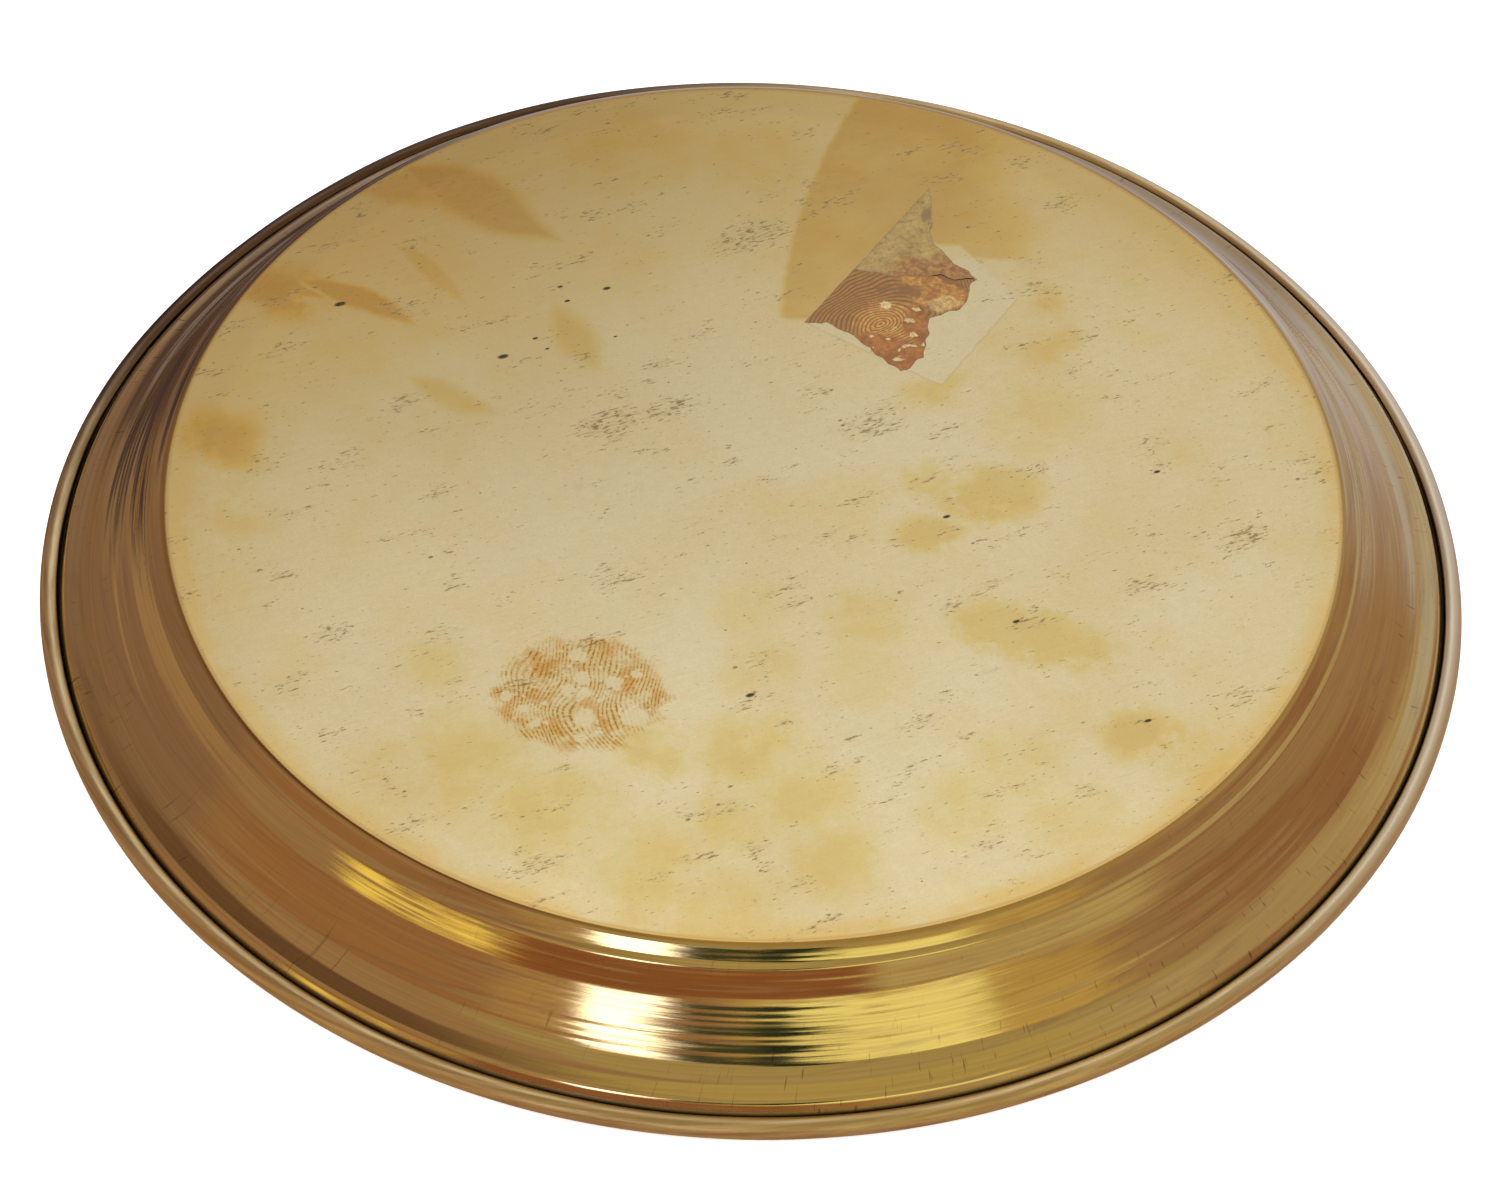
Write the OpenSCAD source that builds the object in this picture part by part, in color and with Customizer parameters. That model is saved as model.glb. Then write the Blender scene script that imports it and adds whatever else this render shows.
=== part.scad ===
// Shallow spun brass dish lying upside down on its rolled rim.
// Origin: centre of the plane the rim rests on. +Z points up, out of the underside of the base.
// A profile is a list of points (distance from the axis, height), drawn on the outside of the sheet.

/* [Overall size] */

// Diameter over the rolled rim
outer_d = 160;  // [130:1:200]
// Height from the resting plane of the rim to the standing ring of the base
height = 13.4;  // [12.4:0.1:15]
// Thickness of the brass sheet
sheet = 0.6;  // [0.5:0.05:0.65]

/* [Base] */

// Diameter at which the flat of the base would meet the edge band
base_d = 130.8;  // [130.4:0.1:131.2]
// Depth of the faint hollow that makes the base stand on its outer ring
base_hollow = 0.35;  // [0.2:0.05:0.5]
// Width of the flat ring the base stands on
stand_w = 4.4;  // [3:0.2:8]
// Outside radius of the rounded edge of the base
edge_r = 1.2;  // [0.8:0.1:1.6]

/* [Wall] */

// Slope of the short band under the edge of the base, degrees below level
band_slope = 45;  // [40:1:50]
// Height of that band
band_h = 1.3;  // [1:0.1:1.4]
// Width of the little ledge at the foot of the band
ledge_w = 0.55;  // [0.5:0.05:0.7]
// Slope of the ledge
ledge_slope = 20;  // [16:1:24]
// Slope of the steep upper part of the wall
wall_slope = 60;  // [56:1:62]
// Height of the steep upper part of the wall
wall_h = 3.2;  // [2.8:0.1:3.4]
// Width of the easier lower part of the wall, measured along the radius
flare_w = 4.8;  // [4.6:0.1:5]
// Width of the nearly level flange inside the bead
flange_w = 3.1;  // [2.8:0.1:3.2]
// Slope of the flange
flange_slope = 12;  // [8:1:13]
// Height of the outer end of the flange above the resting plane
flange_z = 2.9;  // [2.8:0.05:3.1]
// Radius of the hollow bend between wall and flange
flange_r = 3;  // [1:0.5:4]

/* [Rolled rim] */

// Diameter of the wire inside the bead
wire_d = 1;  // [0.9:0.05:1.1]
// Play between the wire and the sheet rolled round it
wire_play = 0.02;  // [0.01:0.01:0.05]
// Place where the rolled raw edge stops, degrees round the bead from its outer side
roll_end = 130;  // [90:5:135]
// Gap between the two butted ends of the wire
wire_gap = 0.6;  // [0.2:0.1:2]
// Direction of that gap round the dish
wire_gap_at = 200;  // [0:5:355]

/* [Label] */

// Distance of the label's corner from the axis along X
label_x = 4.6;  // [-10:0.2:10]
// Distance of the label's corner from the axis along Y
label_y = 24.6;  // [10:0.2:28]
// Direction of the label's long edge
label_turn = 59.4;  // [40:0.2:80]
// Thickness of the torn film
film_t = 0.06;  // [0.04:0.01:0.08]
// Thickness of the bare adhesive
glue_t = 0.04;  // [0.02:0.01:0.06]

/* [Colours] */

// Brass sheet
brass = [0.80, 0.68, 0.40];
// Galvanised wire
wire_grey = [0.60, 0.60, 0.58];
// Yellowed clear film
film_tan = [0.74, 0.70, 0.50];
// Old adhesive
glue_brown = [0.62, 0.38, 0.18];

/* [Hidden] */

arc_step = 6;   // degrees between points on the round stretches of the profile
hollow_n = 10;  // points along the hollow of the base
eps = 0.01;

// rolled rim
roll_in = wire_d / 2 + wire_play;
bead_r = roll_in + sheet;
bead_c = [outer_d / 2 - bead_r, bead_r];

// corners of the wall, from the flange inwards and up, then from the base outwards and down
base_r = base_d / 2;
stand_r = base_r - edge_r * tan(band_slope / 2) - stand_w;
edge = [base_r, height];
ledge_in = edge + [band_h / tan(band_slope), -band_h];
ledge_out = ledge_in + [ledge_w, -ledge_w * tan(ledge_slope)];
wall_mid = ledge_out + [wall_h / tan(wall_slope), -wall_h];
flange_out = [bead_c[0] - 1.87, flange_z];
flange_in = flange_out + [-flange_w, flange_w * tan(flange_slope)];

// straight run from the flange down to the roll, touching the circle of the wire
to_roll = bead_c - flange_out;
drop = asin(roll_in / norm(to_roll)) - atan2(to_roll[1], to_roll[0]);
roll_start = 270 - drop;
roll_touch = bead_c + roll_in * [cos(roll_start), sin(roll_start)];

// [corner, outside bend radius] from the base to the roll
corners = [
    [[stand_r, height], 0],
    [edge, edge_r],
    [ledge_in, 0.4],
    [ledge_out, sheet + 0.05],
    [wall_mid, 6],
    [flange_in, flange_r],
    [flange_out, sheet + 0.3],
    [roll_touch, 0],
];

function heading(a, b) = atan2(b[1] - a[1], b[0] - a[0]);
function left_of(h) = [-sin(h), cos(h)];

// Points of one bend, each moved off the outside of the sheet by d
function bend(i, d) =
    let(
        p = corners[i][0],
        h1 = heading(corners[i - 1][0], p),
        h2 = heading(p, corners[i + 1][0]),
        turn = h2 - h1,
        side = sign(turn),
        r = corners[i][1],
        from = p - r * tan(abs(turn) / 2) * [cos(h1), sin(h1)],
        centre = from + side * r * left_of(h1),
        n = max(2, ceil(abs(turn) / arc_step))
    )
    [for (k = [0:n]) centre + (d - side * r) * left_of(h1 + turn * k / n)];

// Height of the hollow base over the resting plane
function base_z(r) = height - base_hollow * (1 - pow(min(r, stand_r) / stand_r, 2));

// The outside of the sheet moved by d: hollow base, bends, roll
function outline(d) = concat(
    [for (k = [0:hollow_n]) let(r = stand_r * k / hollow_n) [r, base_z(r) + d]],
    [for (i = [1:len(corners) - 2]) each bend(i, d)],
    let(n = ceil((360 + roll_end - roll_start) / arc_step))
    [
        for (k = [0:n])
            let(a = roll_start + (360 + roll_end - roll_start) * k / n)
            bead_c + (roll_in - d) * [cos(a), sin(a)]
    ]
);

function backwards(list) = [for (i = [len(list) - 1:-1:0]) list[i]];

module dish_body() {
    color(brass)
        rotate_extrude($fn = 180)
            polygon(concat(outline(0), backwards(outline(-sheet))));
}

module rim_wire() {
    gap_angle = wire_gap / bead_c[0] * 180 / PI;
    color(wire_grey)
        rotate([0, 0, wire_gap_at + gap_angle / 2])
            rotate_extrude(angle = 360 - gap_angle, $fn = 180)
                translate(bead_c)
                    circle(d = wire_d, $fn = 32);
}

// A thin layer lying on the hollow base inside an outline drawn on the label,
// whose first axis is the long edge and whose second points to the right of it
module on_base(shape, thickness) {
    intersection() {
        translate([label_x, label_y, height - 1])
            rotate([0, 0, label_turn])
                mirror([0, 1, 0])
                    linear_extrude(height = 2)
                        polygon(shape);
        rotate_extrude($fn = 180)
            polygon(concat(base_line(0), backwards(base_line(thickness))));
    }
}

function base_line(d) =
    [for (k = [0:hollow_n]) let(r = stand_r * k / hollow_n) [r, base_z(r) + d]];

// Torn upper corner of a clear film: straight cut edge on one side, torn edge on the other
module label_film() {
    color(film_tan)
        on_base(
            [
                [10.6, 0], [27.7, 0], [23.5, 3], [20, 5.1], [18.6, 8.1],
                [17.3, 12.8], [14.4, 7.6], [11.8, 2.7],
            ],
            film_t
        );
}

// Adhesive left bare where the rest of the label was pulled off
module label_glue() {
    color(glue_brown)
        on_base(
            [
                [10.6, 0], [0, 0], [1.4, 2], [1.3, 5.9], [0.4, 8.8], [-0.6, 13.3],
                [0.4, 14], [2.7, 14.4], [8.7, 11.6], [11.9, 13.8], [17.3, 12.8],
                [14.4, 7.6], [11.8, 2.7],
            ],
            glue_t
        );
}

dish_body();
rim_wire();
label_film();
label_glue();
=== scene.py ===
"""Looks of a shallow spun brass dish lying upside down on its rolled rim.

All lengths are in millimetres until a mesh is written, which is in metres. The dish's axis is Z and the
plane its rim rests on is z = 0. Profiles are (distance from the axis, height).
"""

import math
from types import SimpleNamespace

import bpy
import numpy as np
from mathutils import Matrix, Vector
from mathutils.geometry import delaunay_2d_cdt


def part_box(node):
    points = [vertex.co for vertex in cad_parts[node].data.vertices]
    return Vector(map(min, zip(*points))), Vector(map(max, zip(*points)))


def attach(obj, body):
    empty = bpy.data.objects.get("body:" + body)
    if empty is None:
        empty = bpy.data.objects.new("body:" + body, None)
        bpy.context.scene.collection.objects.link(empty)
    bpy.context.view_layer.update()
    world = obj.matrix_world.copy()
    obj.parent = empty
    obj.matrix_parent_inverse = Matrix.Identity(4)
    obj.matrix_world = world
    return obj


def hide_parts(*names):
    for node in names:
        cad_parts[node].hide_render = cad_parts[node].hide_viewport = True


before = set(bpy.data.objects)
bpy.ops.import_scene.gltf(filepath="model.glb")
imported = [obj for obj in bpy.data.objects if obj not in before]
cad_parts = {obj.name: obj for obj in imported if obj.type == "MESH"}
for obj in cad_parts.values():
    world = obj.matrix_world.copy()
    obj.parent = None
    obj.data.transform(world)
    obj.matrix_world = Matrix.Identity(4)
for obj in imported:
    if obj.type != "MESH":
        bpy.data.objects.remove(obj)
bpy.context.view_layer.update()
MM = 0.001
rng = np.random.default_rng(31)

# -------- sizes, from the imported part
body_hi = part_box("dish_body")[1]
RIM_R = round(body_hi[0] / MM, 2)
HEIGHT = round(body_hi[2] / MM, 2)
SHEET = 0.6  # thickness of the brass
BASE_R = 65.4  # corner between base and wall, before it is rounded
EDGE_R = 1.2  # bend at that corner
HOLLOW = 0.35  # depth of the hollow in the base
STAND_W = 4.4  # width of the flat ring round the hollow
STAND_R = BASE_R - EDGE_R * math.tan(math.radians(22.5)) - STAND_W
WIRE_R = 0.5
ROLL_IN = WIRE_R + 0.02  # inside of the roll, with play for the wire
BEAD_R = ROLL_IN + SHEET  # outside of the roll
BEAD_C = np.array([RIM_R - BEAD_R, BEAD_R])  # centre of the roll
ROLL_END = 136.0  # where the raw edge stops, degrees round the roll


# -------- profile of the sheet
edge = np.array([BASE_R, HEIGHT])
ledge_in = edge + [1.3, -1.3]
ledge_out = ledge_in + [0.55, -0.55 * math.tan(math.radians(20))]
wall_mid = ledge_out + [3.2 / math.tan(math.radians(60)), -3.2]
flange_out = np.array([BEAD_C[0] - 1.87, 2.9])
flange_in = flange_out + [-3.1, 3.1 * math.tan(math.radians(12))]
to_roll = BEAD_C - flange_out
drop = math.degrees(math.asin(ROLL_IN / np.hypot(*to_roll)) - math.atan2(to_roll[1], to_roll[0]))
ROLL_START = 270 - drop  # where the sheet meets the roll, degrees round it
start_angle = math.radians(ROLL_START)
roll_touch = BEAD_C + ROLL_IN * np.array([math.cos(start_angle), math.sin(start_angle)])
# [corner, outside radius of its bend] from the standing ring to the roll
CORNERS = [
    (np.array([STAND_R, HEIGHT]), 0), (edge, EDGE_R), (ledge_in, 0.4), (ledge_out, SHEET + 0.05),
    (wall_mid, 8), (flange_in, 6), (flange_out, SHEET + 0.3), (roll_touch, 0),
]
BEND_STEPS = 24


def base_z(r):
    """Height of the hollow base."""
    return HEIGHT - HOLLOW * (1 - np.minimum(r, STAND_R) ** 2 / STAND_R ** 2)


def bent_path(step):
    """Outside of the sheet from the standing ring to the roll: points and normals, step apart."""
    pts = [CORNERS[0][0]]
    for i in range(1, len(CORNERS) - 1):
        p, r = CORNERS[i]
        h1 = math.atan2(*(p - CORNERS[i - 1][0])[::-1])
        h2 = math.atan2(*(CORNERS[i + 1][0] - p)[::-1])
        turn = h2 - h1
        side = math.copysign(1, turn)
        start = p - r * math.tan(abs(turn) / 2) * np.array([math.cos(h1), math.sin(h1)])
        centre = start + side * r * np.array([-math.sin(h1), math.cos(h1)])
        for k in range(BEND_STEPS + 1):
            h = h1 + turn * k / BEND_STEPS
            pts.append(centre - side * r * np.array([-math.sin(h), math.cos(h)]))
    pts.append(CORNERS[-1][0])
    pts = np.array(pts)
    run = np.r_[0, np.cumsum(np.hypot(*np.diff(pts, axis=0).T))]
    s = np.linspace(0, run[-1], int(run[-1] / step) + 1)
    out = np.stack([np.interp(s, run, pts[:, 0]), np.interp(s, run, pts[:, 1])], 1)
    t = np.gradient(out, axis=0)
    t /= np.hypot(*t.T)[:, None]
    return out, np.stack([-t[:, 1], t[:, 0]], 1)


# -------- hand-made unevenness
def soft_noise(rows, cols, along, around):
    """Random field, periodic round the dish, smooth over `along` rows and `around` columns; about -1..1."""
    f = np.fft.rfft2(rng.normal(size=(rows, cols)))
    kr = np.fft.fftfreq(rows)[:, None]
    kc = np.fft.rfftfreq(cols)[None, :]
    f *= np.exp(-2 * (math.pi * kr * along) ** 2 - 2 * (math.pi * kc * around) ** 2)
    g = np.fft.irfft2(f, s=(rows, cols))
    return (g - g.mean()) / (2.0 * g.std())


def smooth(x, a, b):
    """0 below a, 1 above b, and a soft step between."""
    t = np.clip((x - a) / (b - a), 0, 1)
    return t * t * (3 - 2 * t)


N_PHI = 720
phi = np.arange(N_PHI) * 2 * math.pi / N_PHI
ROUND_TO = 60  # inside this radius the dish is still a true circle
KNOCKED_IN = (143, 15, -1.15)  # the worst place of the rim: direction, half angle, radial shift
OUT_OF_ROUND = [KNOCKED_IN, (38, 14, -0.3), (195, 12, -0.1), (-80, 30, 0.1)]


def out_of_round(r):
    """Radial shift of the wall and rim at each phi: the hoop isn't quite a circle."""
    shift = np.zeros(N_PHI)
    for at, half, push in OUT_OF_ROUND:
        away = np.abs((np.degrees(phi) - at + 180) % 360 - 180)
        shift += push * np.exp(-0.5 * (away / half) ** 2)
    return smooth(r, ROUND_TO, RIM_R)[:, None] * shift[None, :]


def link(name, data):
    obj = bpy.data.objects.new(name, data)
    bpy.context.scene.collection.objects.link(obj)
    return obj


def stand_for(piece, node):
    """The piece shows in place of a CAD node, on the dish's only body."""
    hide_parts(node)
    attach(piece, "root")


def grid_mesh(name, rr, zz):
    """Closed mesh of revolution from rows of (r, z); the ends are closed to points on the axis."""
    rows, cols = rr.shape
    xyz = np.stack([rr * np.cos(phi), rr * np.sin(phi), zz], -1).reshape(-1, 3) * MM
    verts = [tuple(v) for v in xyz]
    faces = []
    for i in range(rows - 1):
        a, b = i * cols, (i + 1) * cols
        faces += [(a + j, a + (j + 1) % cols, b + (j + 1) % cols, b + j) for j in range(cols)]
    for i, flip in ((0, False), (rows - 1, True)):
        verts.append((0, 0, zz[i].mean() * MM))
        c, a = len(verts) - 1, i * cols
        for j in range(cols):
            tri = (a + (j + 1) % cols, a + j, c)
            faces.append(tri[::-1] if flip else tri)
    mesh = bpy.data.meshes.new(name)
    mesh.from_pydata(verts, [], [f[::-1] for f in faces])
    mesh.update()
    mesh.shade_smooth()
    return link(name, mesh)


PATH_STEP = 0.1
BASE_STEP = 1.5
BACK_EVERY = 4  # the unseen face keeps every fourth row
ROLL_ROWS = 52


def spinning_marks(path):
    """How far the wall stands off its true profile: marks that run round it, and dents."""
    n = len(path)
    marks = (
        0.015 * soft_noise(n, N_PHI, 1.6, 16)
        + 0.050 * soft_noise(n, N_PHI, 4.5, 22)
        + 0.060 * soft_noise(n, N_PHI, 11, 40)
    )
    r = path[:, 0]
    on_wall = smooth(r, 65.2, 66.2) * smooth(-r, -77.2, -76.4)
    calmer_flange = 1 - 0.65 * smooth(r, 73.5, 75.0)
    marks *= (on_wall * calmer_flange)[:, None]
    dents = 0.02 * soft_noise(n, N_PHI, 30, 25) * on_wall[:, None]
    return marks, dents


def build_dish():
    """Sheet of even thickness: hollow base, bent path and roll outside, then back along the inside."""
    path, normal = bent_path(PATH_STEP)
    path_r, path_z, normal_r, normal_z = (a[:, None] for a in (*path.T, *normal.T))
    r_base = np.r_[0.4, np.arange(BASE_STEP, STAND_R - 0.5, BASE_STEP)]
    marks, dents = spinning_marks(path)
    base_wave = 0.012 * soft_noise(len(r_base), N_PHI, 10, 60) * smooth(-r_base, -STAND_R, -20)[:, None]
    base_wave *= smooth(r_base, 2, 15)[:, None]
    rr = [r_base[:, None], path_r + normal_r * (marks + dents)]
    zz = [base_z(r_base)[:, None] + base_wave, path_z + normal_z * (marks + dents)]
    # inside of the roll, round the wire; the raw edge stops a little unevenly
    t = np.linspace(0, 1, ROLL_ROWS)[1:, None]
    ragged = 3.0 * soft_noise(8, N_PHI, 1, 5)[3] + 1.2 * soft_noise(8, N_PHI, 1, 1.0)[3]
    ang = np.radians(ROLL_START + (360 + ROLL_END - ROLL_START + ragged[None, :]) * t)
    rr.append(BEAD_C[0] + ROLL_IN * np.cos(ang))
    zz.append(BEAD_C[1] + ROLL_IN * np.sin(ang))
    # raw edge, slightly rounded, then back round the outside of the roll
    for share in (0.25, 0.75):
        rho = ROLL_IN + SHEET * share
        a = ang[-1] + 0.05 / rho
        rr.append((BEAD_C[0] + rho * np.cos(a))[None, :])
        zz.append((BEAD_C[1] + rho * np.sin(a))[None, :])
    rho = BEAD_R + 0.02 * soft_noise(ROLL_ROWS - 1, N_PHI, 10, 5)
    rr.append(BEAD_C[0] + rho * np.cos(ang[::-1]))
    zz.append(BEAD_C[1] + rho * np.sin(ang[::-1]))
    # the other face of the sheet
    back = slice(None, None, -BACK_EVERY)
    rr.append((path_r - SHEET * normal_r + dents * normal_r)[back])
    zz.append((path_z - SHEET * normal_z + dents * normal_z)[back])
    rr.append(r_base[::-1, None])
    zz.append((base_z(r_base)[:, None] - SHEET + base_wave)[::-1])
    rr = np.vstack([np.broadcast_to(a, (len(a), N_PHI)) for a in rr])
    zz = np.vstack([np.broadcast_to(a, (len(a), N_PHI)) for a in zz])
    return grid_mesh("brass_dish", rr + out_of_round(rr[:, 0]), zz)


dish = build_dish()
stand_for(dish, "dish_body")


# -------- wire
WIRE_SIDES = 16
WIRE_TURNS = 540
GAP_AT, GAP = 200.0, 0.6  # direction and width of the gap between the butted ends


def build_wire():
    """Drawn wire ring lying in the roll, out of round as the rim is."""
    half_gap = math.degrees(GAP / BEAD_C[0]) / 2
    a = np.radians(np.linspace(GAP_AT + half_gap, GAP_AT + 360 - half_gap, WIRE_TURNS))
    shift = np.interp(np.degrees(a) % 360, np.degrees(phi), out_of_round(np.array([RIM_R]))[0], period=360)
    t = np.arange(WIRE_SIDES) * 2 * math.pi / WIRE_SIDES
    rr = BEAD_C[0] + shift[:, None] + WIRE_R * np.cos(t)
    zz = np.broadcast_to(BEAD_C[1] + WIRE_R * np.sin(t), rr.shape)
    xyz = np.stack([rr * np.cos(a)[:, None], rr * np.sin(a)[:, None], zz], -1).reshape(-1, 3) * MM
    faces = []
    for i in range(WIRE_TURNS - 1):
        here, there = i * WIRE_SIDES, (i + 1) * WIRE_SIDES
        for j in range(WIRE_SIDES):
            k = (j + 1) % WIRE_SIDES
            faces.append((here + j, here + k, there + k, there + j))
    last = (WIRE_TURNS - 1) * WIRE_SIDES
    faces.append(tuple(range(WIRE_SIDES))[::-1])
    faces.append(tuple(last + j for j in range(WIRE_SIDES)))
    mesh = bpy.data.meshes.new("ring_wire")
    mesh.from_pydata([tuple(v) for v in xyz], [], [f[::-1] for f in faces])
    mesh.shade_smooth()
    return link("ring_wire", mesh)


wire = build_wire()
stand_for(wire, "rim_wire")


# -------- torn sticker
# Outlines are in the label's own frame: u along its long edge, v across it to the right.
LABEL_AT, LABEL_TURN = (4.6, 24.6), 59.4
LABEL_SIZE = (27.7, 18.4)
FILM_T, GLUE_T = 0.06, 0.04
TEAR = [(10.6, 0), (11.8, 2.7), (14.4, 7.6), (17.3, 12.8)]
FILM = [(17.3, 12.8), (18.6, 8.1), (20, 5.1), (23.5, 3), (27.7, 0), (10.6, 0)]
GLUE = [(17.3, 12.8), (11.9, 13.8), (8.7, 11.6), (2.7, 14.4), (0.4, 14), (-0.6, 13.3), (0.4, 8.8),
        (1.3, 5.9), (1.4, 2), (0, 0), (10.6, 0)]


def from_label(uv):
    """Places on the base for points in the label's frame."""
    t = math.radians(LABEL_TURN)
    u, v = uv[:, 0], -uv[:, 1]
    return np.stack([LABEL_AT[0] + u * math.cos(t) - v * math.sin(t),
                     LABEL_AT[1] + u * math.sin(t) + v * math.cos(t)], 1)


def inside(points, ring):
    """Which points lie inside the closed outline."""
    x, y = points[:, 0][:, None], points[:, 1][:, None]
    x1, y1 = ring[:, 0], ring[:, 1]
    x2, y2 = np.roll(x1, -1), np.roll(y1, -1)
    cross = (y1 > y) != (y2 > y)
    at = (x2 - x1) * (y - y1) / np.where(y2 == y1, 1e-9, y2 - y1) + x1
    return (cross & (x < at)).sum(1) % 2 == 1


def ragged_line(corners, torn, pitch):
    """Polyline through the corners, the last left out; torn gives the raggedness of each side in mm."""
    line = []
    for p, q, rag in zip(corners, corners[1:], torn):
        p, q = np.array(p, float), np.array(q, float)
        n = max(2, int(np.hypot(*(q - p)) / pitch))
        side = np.array([-(q - p)[1], (q - p)[0]]) / np.hypot(*(q - p))
        wander = np.convolve(rng.normal(size=n + 4), [0.25, 0.5, 0.7, 0.5, 0.25], "valid")
        for k in range(n):
            fade = min(1, 4 * k / n, 4 * (n - k) / n)
            line.append(p + (q - p) * k / n + side * rag * wander[k] * fade)
    return np.array(line)


def to_outline(points, ring):
    return np.array([np.hypot(*(ring - p).T).min() for p in points])


def same_winding(tri, uv):
    (ax, ay), (bx, by) = uv[tri[1]] - uv[tri[0]], uv[tri[2]] - uv[tri[0]]
    return tri if ax * by > ay * bx else tri[::-1]


def patch(name, ring, thickness, pitch, lift):
    """A thin layer on the base, raised by lift(u, v, distance to its edge)."""
    lo, hi = ring.min(0), ring.max(0)
    gx, gy = np.meshgrid(np.arange(lo[0], hi[0], pitch), np.arange(lo[1], hi[1], pitch))
    pts = np.stack([gx.ravel(), gy.ravel()], 1)
    pts += rng.uniform(-0.15, 0.15, pts.shape) * pitch
    pts = pts[inside(pts, ring)]
    pts = pts[to_outline(pts, ring) > 0.55 * pitch]
    flat = [Vector(p) for p in np.vstack([ring, pts])]
    found = delaunay_2d_cdt(flat, [], [list(range(len(ring)))], 1, 1e-5)
    uv = np.array([tuple(v) for v in found[0]])
    tris = [same_winding(f, uv) for f in found[2]]
    edge = to_outline(uv, ring)
    xy = from_label(uv)
    floor = base_z(np.hypot(*xy.T))
    raised = lift(uv[:, 0], uv[:, 1], edge)
    top = floor + thickness * (0.6 + 0.4 * smooth(edge, 0, 0.3)) + raised
    bottom = floor + raised
    verts = [(x * MM, y * MM, z * MM) for (x, y), z in zip(xy, top)]
    verts += [(x * MM, y * MM, z * MM) for (x, y), z in zip(xy, bottom)]
    n = len(uv)
    # the label frame is mirrored, so triangles wound one way there face down here
    faces = [tuple(f[::-1]) for f in tris] + [tuple(i + n for i in f) for f in tris]
    sides = {e: True for f in tris for e in ((f[0], f[1]), (f[1], f[2]), (f[2], f[0]))}
    for a, b in sides:
        if (b, a) not in sides:
            faces.append((a, b, b + n, a + n))
    mesh = bpy.data.meshes.new(name)
    mesh.from_pydata(verts, [], faces)
    near = mesh.attributes.new("to_edge", "FLOAT", "POINT")
    near.data.foreach_set("value", np.r_[edge, edge].astype(np.float32))
    return link(name, mesh)


def film_lift(u, v, edge):
    """The torn side has let go of the base and curls up a little."""
    torn_side = smooth(-np.abs(v - 0.7125 * (LABEL_SIZE[0] - u)), -2.2, 0.0)
    tip = smooth(v, 8.0, 12.8)
    return 0.10 * torn_side * smooth(-edge, -1.2, 0) * smooth(v, 0.3, 2) + 0.12 * tip


def glue_lift(u, v, edge):
    """Faint lumps, dying out at the edge."""
    return 0.006 * np.sin(u * 5.1 + 2 * np.sin(v)) * np.sin(v * 4.3) * smooth(edge, 0, 0.5)


PITCH = 0.4
tear = ragged_line(TEAR, (0.10, 0.24, 0.28), PITCH)
film_side = ragged_line(FILM, (0.16, 0.12, 0.16, 0.10, 0.0), PITCH)
glue_side = ragged_line(GLUE, (0.25, 0.3, 0.3, 0.25, 0.2, 0.2, 0.2, 0.2, 0.15, 0.02), PITCH)
TEAR_GAP = 0.02  # keeps the film off the adhesive
film = patch("torn_film", np.vstack([tear + [TEAR_GAP, 0], film_side]), FILM_T, PITCH, film_lift)
glue = patch("bare_adhesive", np.vstack([tear, glue_side]), GLUE_T, PITCH, glue_lift)
stand_for(film, "label_film")
stand_for(glue, "label_glue")


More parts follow.
